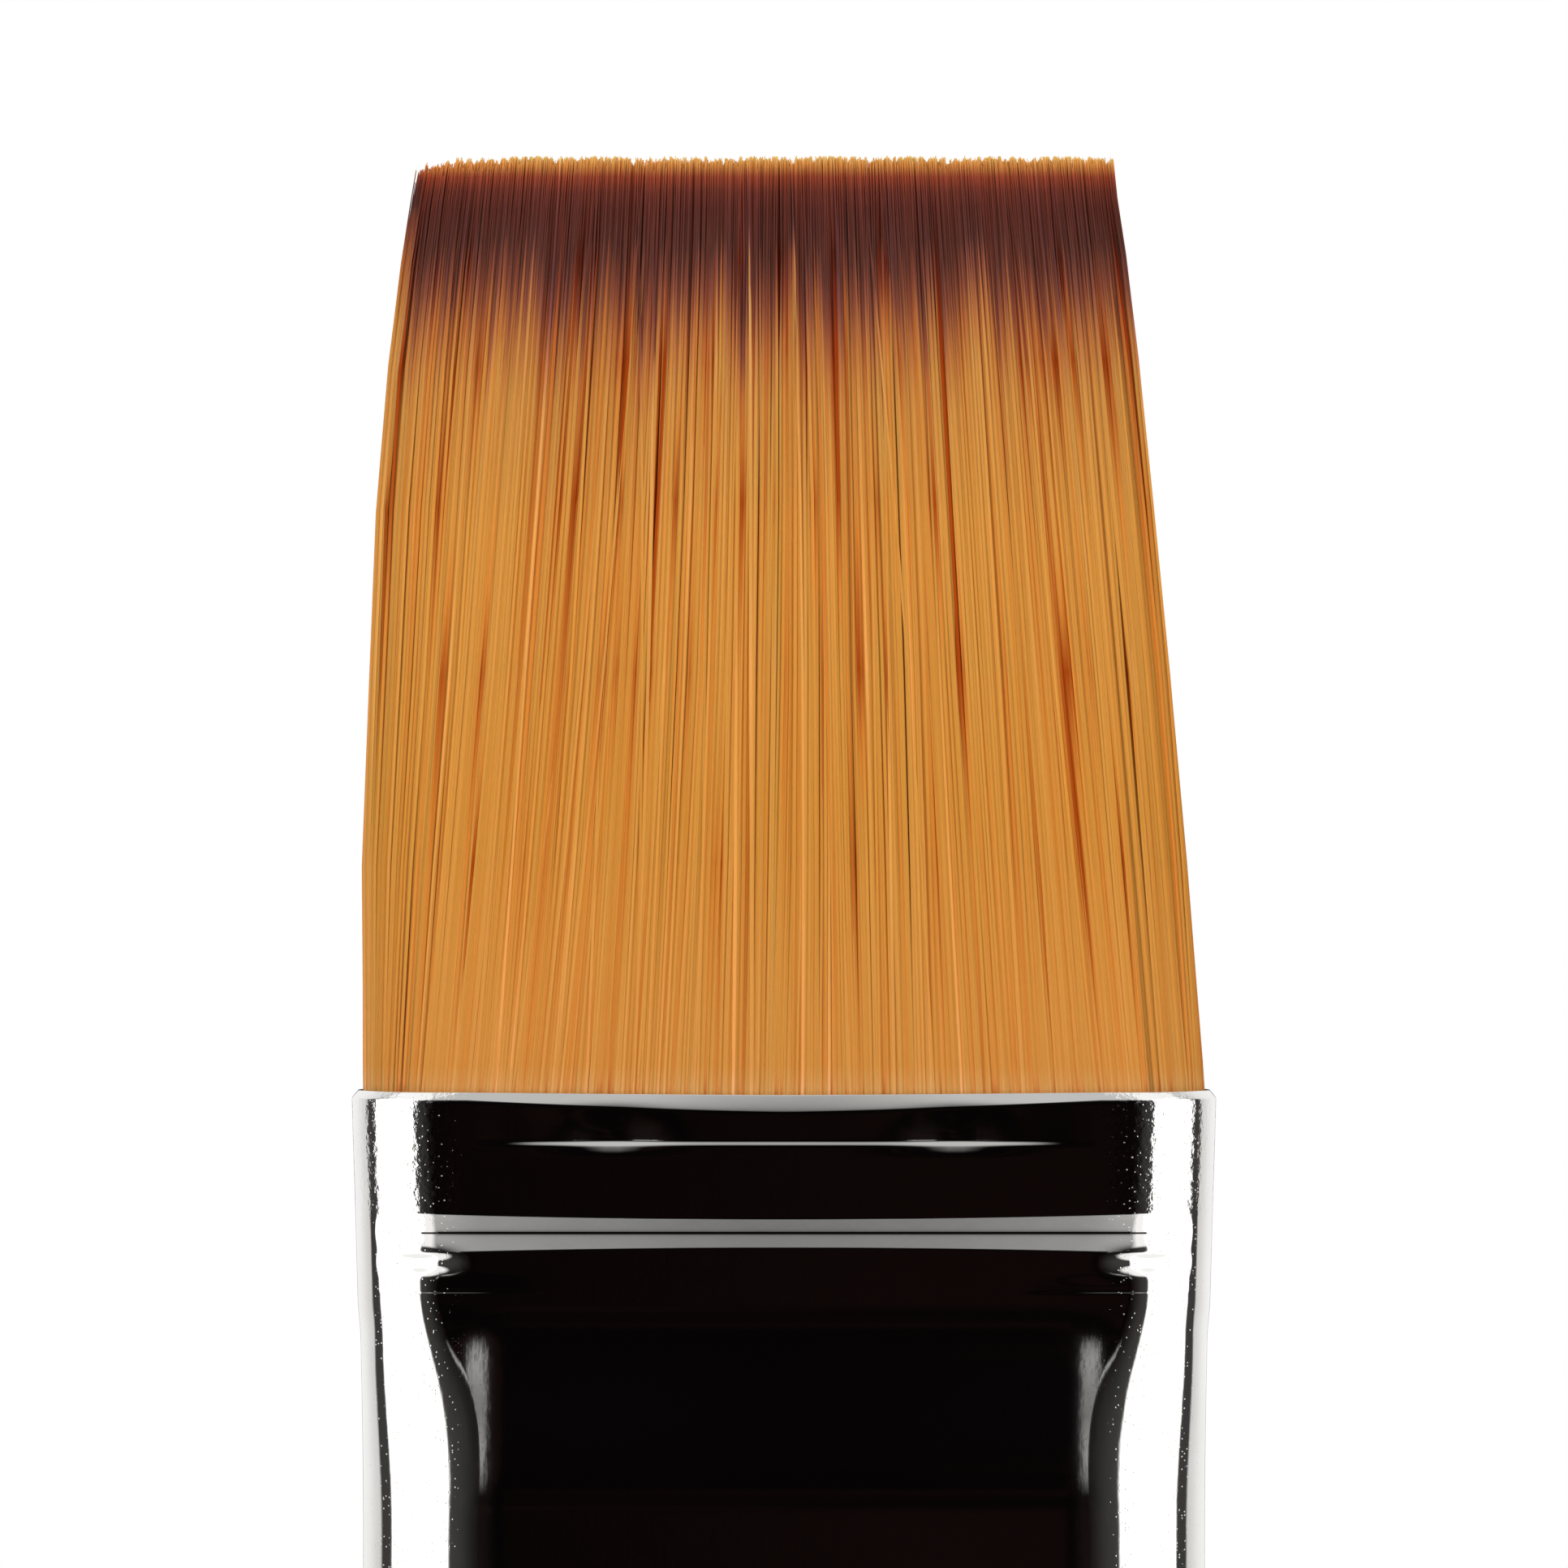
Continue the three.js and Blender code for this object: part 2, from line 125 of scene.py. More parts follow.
def studio_world():
    """The surroundings by direction: the angle round from straight in front, and the height, in degrees."""
    world = bpy.data.worlds.new("studio")
    world.use_nodes = True
    tree = world.node_tree
    tree.nodes.clear()
    direction = add(tree, "ShaderNodeTexCoord").outputs["Generated"]
    axes = add(tree, "ShaderNodeSeparateXYZ", {0: direction}).outputs
    side = math_node(tree, "ABSOLUTE", axes["X"])
    ahead = math_node(tree, "MULTIPLY", axes["Y"], -1.0)
    around = math_node(tree, "DEGREES", math_node(tree, "ARCTAN2", side, ahead))
    height = math_node(tree, "DEGREES", math_node(tree, "ARCSINE", axes["Z"]))

    paper_light = rise(tree, around, 110, 145, 0.72, 0.98)
    paper = math_node(tree, "MULTIPLY", band(tree, around, 113, 170, 2.5), paper_light)
    lamps = math_node(tree, "MULTIPLY", band(tree, around, 30.4, 96.5, 1.2), band(tree, height, -62, 62, 6))
    lamps = math_node(tree, "MULTIPLY", lamps, 1.45)
    gleam = math_node(tree, "MULTIPLY", band(tree, around, 7.6, 9.2, 0.6), band(tree, height, 9, 21, 6))
    gleam = math_node(tree, "MULTIPLY", gleam, 0.4)
    overhead = rise(tree, height, 21, 60, 0.0, 0.6)
    below = rise(tree, height, -30, -60, 0.0, 0.52)
    steep = rise(tree, math_node(tree, "ABSOLUTE", height), 22, 36)
    spill = math_node(tree, "MULTIPLY", band(tree, around, 13, 108, 7), steep)
    spill = math_node(tree, "MULTIPLY", spill, 1.1)
    total = rise(tree, around, 4, 29, 0.0, 0.046)
    for part in (paper, lamps, gleam, overhead, below, spill):
        total = math_node(tree, "MAXIMUM", total, part)
    haze = add(tree, "ShaderNodeTexNoise", {"Vector": direction, "Scale": 9.0, "Detail": 1.0}).outputs[0]
    dark, less_dark = (0.0018, 0.0011, 0.0012, 1), (0.0062, 0.0030, 0.0028, 1)
    room = mixed(tree, "MIX", rise(tree, haze, 0.4, 0.65), dark, less_dark)
    seen = mixed(tree, "ADD", 1.0, total, room)

    lit = add(tree, "ShaderNodeBackground", {"Color": seen, "Strength": 1.0})
    plain = add(tree, "ShaderNodeBackground", {"Color": (1, 1, 1, 1), "Strength": 1.0})
    path = add(tree, "ShaderNodeLightPath")
    by_ray = {0: path.outputs["Is Camera Ray"], 1: lit.outputs[0], 2: plain.outputs[0]}
    mix = add(tree, "ShaderNodeMixShader", by_ray)
    add(tree, "ShaderNodeOutputWorld", {"Surface": mix.outputs[0]})
    return world


scene.world = studio_world()

front_light_data = bpy.data.lights.new("front_light", "AREA")
front_light_data.size = 0.5
front_light_data.energy = 7.5
front_light = bpy.data.objects.new("front_light", front_light_data)
front_light_away, front_light_height = 0.9, 0.45
front_light.location = (0, -front_light_away, front_light_height)
front_light.rotation_euler = (math.atan2(front_light_away, front_light_height - mouth), 0, 0)
front_light.visible_camera = False
front_light.visible_glossy = False
scene.collection.objects.link(front_light)


def pale_floor():
    """A matt paper disc that the brush stands on, a little lighter to the eye than its light makes it."""
    bpy.ops.mesh.primitive_circle_add(vertices=128, radius=0.7, fill_type="NGON", location=(0, 0, 0))
    floor = bpy.context.object
    floor.name = "floor"
    material = bpy.data.materials.new("pale_paper")
    material.use_nodes = True
    tree = material.node_tree
    paper = tree.nodes["Principled BSDF"]
    paper.inputs["Base Color"].default_value = (0.88, 0.88, 0.87, 1)
    paper.inputs["Roughness"].default_value = 0.9
    paper.inputs["Specular IOR Level"].default_value = 0.1
    paper.inputs["Emission Color"].default_value = (1, 1, 1, 1)
    seen = add(tree, "ShaderNodeLightPath").outputs["Is Camera Ray"]
    tree.links.new(math_node(tree, "MULTIPLY", seen, 0.12), paper.inputs["Emission Strength"])
    floor.data.materials.append(material)
    floor.visible_glossy = False


pale_floor()

# ------------------------------------------------------------------------------------------------------
# Filaments: drawn synthetic fibre, golden amber, dyed dark red-brown towards the tips, which are tapered
# and pale with painted light shining through them. They fill the flattened mouth of the ferrule, are
# bonded below it, and are trimmed level.
# ------------------------------------------------------------------------------------------------------

random = np.random.default_rng(7)
mouth_half_width = ferrule_high.x
mouth_half_thickness = 2.75 * mm
lip_inset = 0.06 * mm
ferrule_wall = 0.35 * mm
mouth_clearance = 0.02 * mm
root_depth = 0.5 * mm
filament_length = cad_high.z - mouth
filament_diameter = 0.108 * mm
filament_count = 11200
loose_count = 70
highlit_pale_places = (-0.09, 0.30, -0.14, -0.50, -0.76, 0.70, 0.05, -0.20)  # of loose filaments with little dye and a painted highlight
highlit_pale_ones = slice(len(highlit_pale_places))
wave_reach_mm = 12  # that the waves take to lie between the middle of the tuft and its edge
left_draw, left_curve = 1.53 * mm, 3.5
right_draw, right_curve = 2.7 * mm, 1.13
left_swell = 0.1 * mm
right_tuck = 0.12 * mm
face_draw, face_lean, face_return = 0.315, 0.37 * mm, 0.31 * mm
tip_half_thickness = 0.95 * mm
thinning_curve = 1.4
stations = np.array([0, 0.05, 0.26, 0.46, 0.64, 0.79, 0.9, 0.96, 1.0])
layer_nodes = ["bristles_front", "bristles_mid_front", "bristles_mid_back", "bristles_back"]

# Partings in each face: the place across the tuft, from -1 to 1, at the lower and at the upper end, the
# shares of the length where it starts and ends, and how far its sides draw apart.
partings = [
    (-0.985, -0.957, 0.22, 0.97, 0.075 * mm),
    (-0.81, -0.81, 0.78, 0.94, 0.05 * mm),
    (-0.72, -0.70, 0.30, 0.60, 0.03 * mm),
    (-0.60, -0.59, 0.10, 0.42, 0.03 * mm),
    (-0.453, -0.466, 0.76, 0.95, 0.05 * mm),
    (-0.42, -0.42, 0.28, 0.50, 0.04 * mm),
    (-0.377, -0.372, 0.50, 0.88, 0.06 * mm),
    (-0.30, -0.25, 0.26, 0.93, 0.07 * mm),
    (-0.13, -0.13, 0.64, 0.88, 0.05 * mm),
    (-0.05, -0.05, 0.84, 0.98, 0.05 * mm),
    (0.0, 0.0, 0.44, 0.68, 0.035 * mm),
    (0.13, 0.126, 0.36, 0.74, 0.04 * mm),
    (0.206, 0.203, 0.56, 0.98, 0.075 * mm),
    (0.30, 0.294, 0.38, 0.70, 0.04 * mm),
    (0.40, 0.39, 0.08, 0.40, 0.035 * mm),
    (0.49, 0.487, 0.22, 0.98, 0.085 * mm),
    (0.69, 0.688, 0.60, 0.94, 0.06 * mm),
    (0.75, 0.76, 0.14, 0.52, 0.035 * mm),
    (0.828, 0.815, 0.62, 0.98, 0.05 * mm),
    (0.914, 0.914, 0.58, 0.90, 0.055 * mm),
    (0.976, 0.972, 0.48, 0.97, 0.075 * mm),
]


def ease(value, low, high):
    """0 below low, 1 above high, and the cubic 3t^2 - 2t^3 between them."""
    share = np.clip((value - low) / (high - low), 0, 1)
    return share * share * (3 - 2 * share)


def tuft_section(share):
    """The middle, half width and half thickness of the tuft at a share of its free length."""
    bore_half_width = mouth_half_width - ferrule_wall - mouth_clearance
    bore_half_thickness = mouth_half_thickness - lip_inset - ferrule_wall - mouth_clearance
    swell = left_swell * ease(share, 0, 0.2) * (1 - ease(share, 0.25, 0.5))
    left = -bore_half_width - swell + left_draw * share**left_curve
    right = bore_half_width - right_draw * share**right_curve - right_tuck * ease(share, 0.86, 0.97)
    thin = bore_half_thickness + (tip_half_thickness - bore_half_thickness) * share**thinning_curve
    return (left + right) / 2, (right - left) / 2, thin


def waves(u, v, share, sizes, seed):
    """A sum of sine waves across the tuft, one for each (wavelength, height), that drift along its length."""
    draw = np.random.default_rng(seed)
    total = 0
    for wavelength, height in sizes:
        phase, lean, drift = draw.uniform(0, 2 * math.pi), draw.uniform(-3, 3), draw.uniform(-1.5, 1.5)
        turns = 2 * math.pi * u * wave_reach_mm * mm / wavelength
        total = total + height * np.sin(turns + phase + lean * v + drift * share)
    return total


def hump(value, middle, spread):
    """A bell curve: 1 at the middle, falling off over the spread."""
    return np.exp(-(((value - middle) / spread) ** 2))


def small_partings(count, seed):
    """More partings like those in the table, short and slight, strewn at random."""
    draw = np.random.default_rng(seed)
    for _ in range(count):
        place, start, reach = draw.uniform(-0.95, 0.95), draw.uniform(0.02, 0.85), draw.uniform(0.08, 0.32)
        gap = draw.uniform(0.015, 0.045) * mm
        yield place, place * (1 - 0.12 * reach), start, min(start + reach, 0.97), gap


def parted(place, depth, share):
    """How far the partings push each filament aside, and how much painted shade and painted highlight they put
    on it.

    The place is across the tuft, from -1 to 1, and so is the depth. Beside a parting the push falls off
    exponentially, and it swells and fades along the parting's length. The filaments that line it get a
    painted shade, and those on its right edge a painted highlight. The back face has the same ones, mirrored.
    """
    shift = shade = 0
    for low_place, high_place, start, end, gap in [*partings, *small_partings(110, 31)]:
        reach = end - start
        middle = low_place + (high_place - low_place) * np.clip((share - start) / reach, 0, 1)
        swell = ease(share, start, start + 0.4 * reach) * (1 - ease(share, end - 0.2 * reach, end))
        for facing in (-1, 1):
            away = place + facing * middle
            strength = gap * swell * ease(facing * depth, 0.0, 0.8)
            shift = shift + 0.6 * strength * np.sign(away) * np.exp(-np.abs(away) / 0.016)
            # Painted shade on the filaments that line the parting, less a painted highlight just to its right.
            shade = shade + strength / (0.06 * mm) * (hump(away, 0, 0.006) - 0.3 * hump(away, 0.018, 0.007))
    return shift, shade


def filament_paths():
    """The middle line of every filament, as points of shape (filament, station, 3), with its share values.

    The roots fill the mouth evenly, by the two-dimensional golden ratio sequence. Each filament keeps its
    place in a section that narrows to the tips. Waves draw neighbours together into locks, partings open
    between them, and each filament also bows and leans a little by itself. A few lie loose on the faces.
    The tips gather into small points, by a short wave that shifts them. Waves of several sizes and a random
    trim make their lengths uneven, and the left corner is cut a little shorter.
    """
    order = np.arange(filament_count) + 0.5
    golden = 1.32471795724
    u = 2 * np.mod(order / golden, 1) - 1
    v = 2 * np.mod(order / golden**2, 1) - 1
    u = np.clip(u + random.uniform(-0.006, 0.006, filament_count), -1, 1)
    v = v + random.uniform(-0.04, 0.04, filament_count)
    v = np.clip(v / 0.91, -1, 1)
    for facing in (-1, 1):
        outer = np.flatnonzero(v == facing)
        u[outer] = 2 * (np.arange(len(outer)) + random.uniform(0, 0.8, len(outer))) / len(outer) - 1
    u = u + 0.4 * np.sin(math.pi * u) / math.pi
    v = v * random.uniform(0.98, 1.0, filament_count)
    loose = np.zeros(filament_count, bool)
    loose[:loose_count] = True
    v[loose] = np.where(np.arange(loose_count) % 2, 1.004, -1.004)
    u[loose] = random.uniform(-0.97, 0.97, loose_count)
    u[highlit_pale_ones] = highlit_pale_places
    v[highlit_pale_ones] *= 1.008
    lean = random.normal(0, 0.06 * mm, (filament_count, 2))
    stray = random.random(filament_count) < 0.05
    lean[stray] *= 3.5
    lean[loose, 0] = random.normal(0, 0.45 * mm, loose_count)
    lean[highlit_pale_ones, 0] = random.normal(-0.15 * mm, 0.15 * mm, len(highlit_pale_places))
    lean[loose, 1] = 0
    bow = random.normal(0, 0.03 * mm, (filament_count, 2))
    point = 2 * math.pi * (u * wave_reach_mm * mm) / (0.24 * mm) + 1.5 * v
    point = point + waves(u, v, 0, [(1.9 * mm, 1.5), (0.9 * mm, 1.2)], 5)

    share = np.broadcast_to(stations, (filament_count, len(stations)))
    middle, half_width, half_thickness = tuft_section(share)
    across, deep = u[:, None], v[:, None]
    rounding = half_thickness * (1 - np.sqrt(1 - np.minimum(np.abs(deep), 0.97) ** 2))
    x = middle + across * (half_width - rounding)
    inner = x[:, :1] * np.exp(-face_draw * share) + face_lean * share - face_return * share**2
    x = inner + (x - inner) * np.minimum(np.abs(x[:, :1] / half_width[:, :1]) / 0.98, 1) ** 8
    y = deep * half_thickness
    place = (x - middle) / half_width
    past = np.clip((np.abs(x - middle) - half_width + half_thickness) / half_thickness, 0, 0.995)
    face_depth = y / (half_thickness * np.sqrt(1 - past**2))
    freed = ease(share, 0.0, 0.5)
    x_locks = [(4.1 * mm, 0.09 * mm), (1.7 * mm, 0.04 * mm), (0.6 * mm, 0.01 * mm)]
    y_locks = [(3.1 * mm, 0.05 * mm), (1.3 * mm, 0.02 * mm), (0.6 * mm, 0.005 * mm)]
    x = x + freed * waves(across, deep, share, x_locks, 11)
    y = y + freed * waves(across, 2 * deep, share, y_locks, 12)
    shift, shade = parted(place, face_depth, share)
    x = x + np.where(loose[:, None], 0, shift)
    x = x - 0.03 * mm * ease(share, 0.92, 1.0) * np.sin(point)[:, None]
    x = x + lean[:, :1] * share**1.3 + bow[:, :1] * np.sin(math.pi * share)
    y = y + lean[:, 1:] * share**1.3 + bow[:, 1:] * np.sin(math.pi * share)
    edge = middle + np.sign(across) * half_width
    x = np.where(np.abs(x - middle) > half_width, edge + (x - edge) * 0.4, x)

    trim = random.triangular(-0.42, -0.03, 0.05, filament_count) * mm
    uneven_sizes = [
        (9 * mm, 0.03 * mm), (2.3 * mm, 0.04 * mm), (0.8 * mm, 0.03 * mm),
        (0.34 * mm, 0.045 * mm), (0.21 * mm, 0.04 * mm), (0.15 * mm, 0.035 * mm),
    ]
    uneven = waves(x[:, -1] / (wave_reach_mm * mm), 0, 0, uneven_sizes, 3)
    corner = 0.3 * mm * np.exp(-(u + 1) / 0.05)
    length = np.minimum(filament_length - 0.04 * mm + trim + uneven - corner, filament_length - 0.01 * mm)
    z = mouth - root_depth + (length[:, None] + root_depth) * share
    outward = np.stack([np.sign(across) * past, face_depth * np.sqrt(1 - past**2)], axis=-1)
    return np.stack([x, y, z], axis=-1), share, u, v, loose, place, outward, shade


def filament_material():
    """Amber fibre whose dye follows a length attribute, with a second attribute on every filament that holds
    its own lightness together with painted shade and painted highlights.

    Part of the light passes through the fibre and comes out a deeper amber.
    """
    material = bpy.data.materials.new("golden_filament")
    material.use_nodes = True
    tree = material.node_tree
    fibre = tree.nodes["Principled BSDF"]
    dye = add(tree, "ShaderNodeAttribute", attribute_name="dye").outputs["Fac"]
    # This attribute holds each filament's own lightness together with painted shade and painted highlights.
    tone_and_painted_light = add(tree, "ShaderNodeAttribute", attribute_name="tone_and_painted_light").outputs["Fac"]

    def ramp(factor, stops):
        node = add(tree, "ShaderNodeValToRGB", {"Fac": factor})
        while len(node.color_ramp.elements) < len(stops):
            node.color_ramp.elements.new(0.5)
        for element, (position, colour) in zip(node.color_ramp.elements, stops):
            element.position = position
            element.color = (*colour, 1)
        return node.outputs["Color"]

    colour = ramp(dye, [
        # Lighter at the very root: painted light against the shade at the ferrule's mouth.
        (0.00, (0.900, 0.470, 0.145)),
        (0.03, (0.875, 0.395, 0.079)),
        (0.30, (0.875, 0.398, 0.066)),
        (0.60, (0.900, 0.425, 0.080)),
        (0.74, (0.840, 0.386, 0.084)),
        (0.80, (0.720, 0.250, 0.070)),
        (0.85, (0.405, 0.107, 0.062)),
        (0.895, (0.186, 0.057, 0.041)),
        (0.94, (0.220, 0.053, 0.038)),
        (0.962, (0.320, 0.070, 0.044)),
        (0.978, (0.590, 0.113, 0.052)),
        # Pale at the very tips: painted light shining through them.
        (0.99, (0.930, 0.430, 0.105)),
        (1.00, (1.000, 0.700, 0.240)),
    ])
    # Its low end is mostly the red-brown of painted shade and its high end the pale of painted light and
    # painted highlights; between them lies each filament's own lightness.
    shade = ramp(tone_and_painted_light, [
        (0.0, (0.60, 0.22, 0.09)),
        (0.3, (0.90, 0.82, 0.72)),
        (0.55, (0.89, 1.0, 1.0)),
        (0.9, (0.95, 1.11, 1.34)),
        (1.0, (1.06, 1.30, 1.90)),
    ])
    tinted = mixed(tree, "MULTIPLY", 1.0, colour, shade)
    tree.links.new(tinted, fibre.inputs["Base Color"])
    fibre.inputs["Roughness"].default_value = 0.42
    fibre.inputs["Specular IOR Level"].default_value = 0.05
    deeper = add(tree, "ShaderNodeGamma", {"Color": tinted, "Gamma": 1.25}).outputs[0]
    through = add(tree, "ShaderNodeBsdfTranslucent", {"Color": deeper})
    mix = add(tree, "ShaderNodeMixShader", {0: 0.6, 1: fibre.outputs[0], 2: through.outputs[0]})
    tree.links.new(mix.outputs[0], tree.nodes["Material Output"].inputs["Surface"])
    return material


def make_filaments():
    """Sweeps a square section along each path: full at the root, tapering to a fine tip.

    The shading normals lean out from the tuft, so that a filament is as even across as a round one. The
    outermost filaments on the left take up less dye and are lightened with painted light, and the ones
    beside them are darkened with painted shade. The partings add painted shade and painted highlights,
    the filaments inside are darkened with painted shade where they show between the outer ones, and
    the loose ones are lightened with a painted highlight.
    """
    paths, share, u, v, loose, place, outward, shade = filament_paths()
    lock_tone = waves(u, v, 0, [(1.7 * mm, 0.05), (0.7 * mm, 0.05), (0.33 * mm, 0.03)], 21)
    # Each filament's own lightness, by lock and at random, with a painted highlight on the loose ones,
    # strongest on the listed pale ones.
    tone_and_painted_light = 0.6 + lock_tone + random.normal(0, 0.12, filament_count) + 0.2 * loose
    tone_and_painted_light[highlit_pale_ones] = 1
    # Painted shade: the filaments inside the tuft, seen only between the outer ones, are darker and redder
    # below the tips.
    inner = (1 - ease(np.abs(v), 0.955, 1.0)) * (1 - ease(np.abs(u), 0.92, 0.985))
    tone_and_painted_light = tone_and_painted_light[:, None] - 0.35 * inner[:, None] * (1 - ease(share, 0.8, 0.95))
    beat, start = random.uniform(3, 11, (2, filament_count, 1))
    # Painted light: the outermost filaments on the left are made lighter, and painted shade: the ones just
    # inside them darker.
    left_band = ease(-place, 0.970, 0.977)
    painted_shade_band = hump(place, -0.965, 0.006) * ease(share, 0.25, 0.45)
    painted_light_band = left_band * (1 - ease(share, 0.84, 0.92))
    tone_and_painted_light = tone_and_painted_light + 0.1 * np.sin(beat * share + start) + 0.5 * painted_light_band - 0.4 * painted_shade_band - 0.8 * shade
    # Some filaments, chosen at random, are darker just above the mouth.
    darker_at_root = random.random((filament_count, 1)) < 0.14
    tone_and_painted_light = np.clip(tone_and_painted_light - 0.7 * darker_at_root * (1 - ease(share, 0.03, 0.05)), 0, 1)
    lock_dye = waves(u, v, 0, [(3.9 * mm, 0.011), (1.3 * mm, 0.010), (0.5 * mm, 0.010)], 22)
    dye_shift = lock_dye + random.normal(0, 0.022, filament_count)
    dye_shift[highlit_pale_ones] = -0.1
    along = (paths[:, :, 2] - mouth) / filament_length
    dye = along + dye_shift[:, None] * ease(along, 0.5, 0.75) * (1 - ease(along, 0.87, 0.97))
    dye = dye - 0.085 * left_band * ease(along, 0.6, 0.75) * (1 - ease(along, 0.93, 0.975))
    thickness = filament_diameter * random.uniform(0.92, 1.18, filament_count)
    width = thickness[:, None] / 2 * (1 - 0.76 * ease(share, 0.7, 1.0) ** 1.4)
    spin = random.uniform(0, math.pi / 2, filament_count)[:, None]
    corner = spin + np.arange(4) * math.pi / 2
    offset = np.stack([np.cos(corner), np.sin(corner), 0 * corner], axis=-1)
    points = paths[:, :, None, :] + offset[:, None, :, :] * width[:, :, None, None]
    normals = np.zeros(points.shape)
    normals[..., :2] = offset[:, None, :, :2] + 0.9 * outward[:, :, None, :]
    here, after = np.arange(4), (np.arange(4) + 1) % 4
    count = len(stations)
    step = np.arange(count - 1)[:, None] * 4
    sides = np.stack([step + here, step + after, step + 4 + after, step + 4 + here], axis=-1).reshape(-1, 4)
    ends = np.array([[3, 2, 1, 0], [4 * count - 4, 4 * count - 3, 4 * count - 2, 4 * count - 1]])
    pattern = np.vstack([sides, ends])
    material = filament_material()
    layer = np.argsort(np.argsort(v)) * len(layer_nodes) // filament_count
    for index, node in enumerate(layer_nodes):
        chosen = np.flatnonzero(layer == index)
        vertices = points[chosen].reshape(-1, 3)
        faces = (pattern[None] + np.arange(len(chosen))[:, None, None] * 4 * count).reshape(-1, 4)
        name = node.replace("bristles", "filaments")
        mesh = bpy.data.meshes.new(name)
        mesh.from_pydata(vertices.tolist(), [], faces.tolist())
        mesh.shade_smooth()
        mesh.normals_split_custom_set_from_vertices(normals[chosen].reshape(-1, 3))
        for attribute, values in (("tone_and_painted_light", tone_and_painted_light), ("dye", dye)):
            layer_values = np.repeat(values[chosen].reshape(-1), 4).astype(np.float32)
            mesh.attributes.new(attribute, "FLOAT", "POINT").data.foreach_set("value", layer_values)
        mesh.materials.append(material)
        piece = bpy.data.objects.new(name, mesh)
        scene.collection.objects.link(piece)
        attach(piece, "root")
        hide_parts(node)


make_filaments()

# ------------------------------------------------------------------------------------------------------
# Tie thread: two-ply cotton wound round the butts of the filaments before they go into the ferrule. It is
# out of sight inside, in its modelled place.
# ------------------------------------------------------------------------------------------------------


def thread_material():
    """Off-white cotton with the slanting furrows of its ply, darker in them as painted shade, and a little
    fuzz.
    """
    material = bpy.data.materials.new("waxed_thread")
    material.use_nodes = True
    tree = material.node_tree
    cotton = tree.nodes["Principled BSDF"]
    place = add(tree, "ShaderNodeTexCoord").outputs["Object"]
    turned = add(tree, "ShaderNodeMapping", {"Vector": place, "Rotation": (0, 0.7, 0.5)}).outputs[0]
    furrows = {"Vector": turned, "Scale": 620.0, "Distortion": 1.5, "Detail": 2.0}
    ply = add(tree, "ShaderNodeTexWave", furrows).outputs[1]
    fuzz = add(tree, "ShaderNodeTexNoise", {"Vector": place, "Scale": 14000.0, "Detail": 3.0}).outputs[0]
    # Painted shade: the colour darkens where the ply's height is low, in its furrows.
    colour = mixed(tree, "MIX", ply, (0.58, 0.53, 0.42, 1), (0.80, 0.77, 0.68, 1))
    height = math_node(tree, "ADD", math_node(tree, "MULTIPLY", ply, 3.0), fuzz)
    bump = add(tree, "ShaderNodeBump", {"Height": height, "Distance": 0.00002}).outputs[0]
    tree.links.new(colour, cotton.inputs["Base Color"])
    tree.links.new(bump, cotton.inputs["Normal"])
    cotton.inputs["Roughness"].default_value = 0.8
    return material


def dress(node, material):
    """Gives a CAD node that stays as it is its material."""
    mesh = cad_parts[node].data
    mesh.materials.clear()
    mesh.materials.append(material)


dress("tie_thread", thread_material())

# ------------------------------------------------------------------------------------------------------
# Resin plug: epoxy poured in at the round end of the ferrule, where it soaks into the butts and sets.
# ------------------------------------------------------------------------------------------------------


def resin_material(name, pale, deep, gloss):
    """Set glue: a clouded colour, with tiny bubbles and a slightly uneven skin."""
    material = bpy.data.materials.new(name)
    material.use_nodes = True
    tree = material.node_tree
    resin = tree.nodes["Principled BSDF"]
    place = add(tree, "ShaderNodeTexCoord").outputs["Object"]
    cloud = add(tree, "ShaderNodeTexNoise", {"Vector": place, "Scale": 420.0, "Detail": 3.0}).outputs[0]
    bubbles = add(tree, "ShaderNodeTexVoronoi", {"Vector": place, "Scale": 2200.0}).outputs["Distance"]
    colour = mixed(tree, "MIX", rise(tree, cloud, 0.3, 0.7), pale, deep)
    height = math_node(tree, "ADD", cloud, rise(tree, bubbles, 0.08, 0.16))
    bump = add(tree, "ShaderNodeBump", {"Height": height, "Distance": 0.00002}).outputs[0]
    tree.links.new(colour, resin.inputs["Base Color"])
    tree.links.new(bump, resin.inputs["Normal"])
    resin.inputs["Roughness"].default_value = gloss
    return material


dress("resin_plug", resin_material("amber_epoxy", (0.52, 0.30, 0.09, 1), (0.38, 0.20, 0.05, 1), 0.22))

# ------------------------------------------------------------------------------------------------------
# Ferrule: a seamless brass tube, drawn bright and nickel plated. Its upper end is pressed flat on the
# filaments and folded in at the rim, with a crimp across each face; its round end is crimped on the handle.
# ------------------------------------------------------------------------------------------------------

ferrule_length = ferrule_high.z - ferrule_low.z
body_half_width = mouth_half_width - 0.3 * mm
flare_depth = 13 * mm
body_half_thickness = 3.6 * mm
swell_depth = 6.3 * mm
swell_height = 6.2 * mm
taper_depth = 16 * mm
collar_radius = 6.5 * mm
collar_length = 8 * mm
rim_height = 0.48 * mm
rim_inset = 0.21 * mm
lip_height = 1.37 * mm
fold_height = 0.17 * mm
groove_depth = 4.14 * mm
groove_height = 0.82 * mm
groove_bite = 0.153 * mm
crimp_depths = ferrule_length - np.array([2.6, 5.4]) * mm
crimp_height = 1.2 * mm
crimp_bite = 0.3 * mm
flat_spread = math.radians(40)


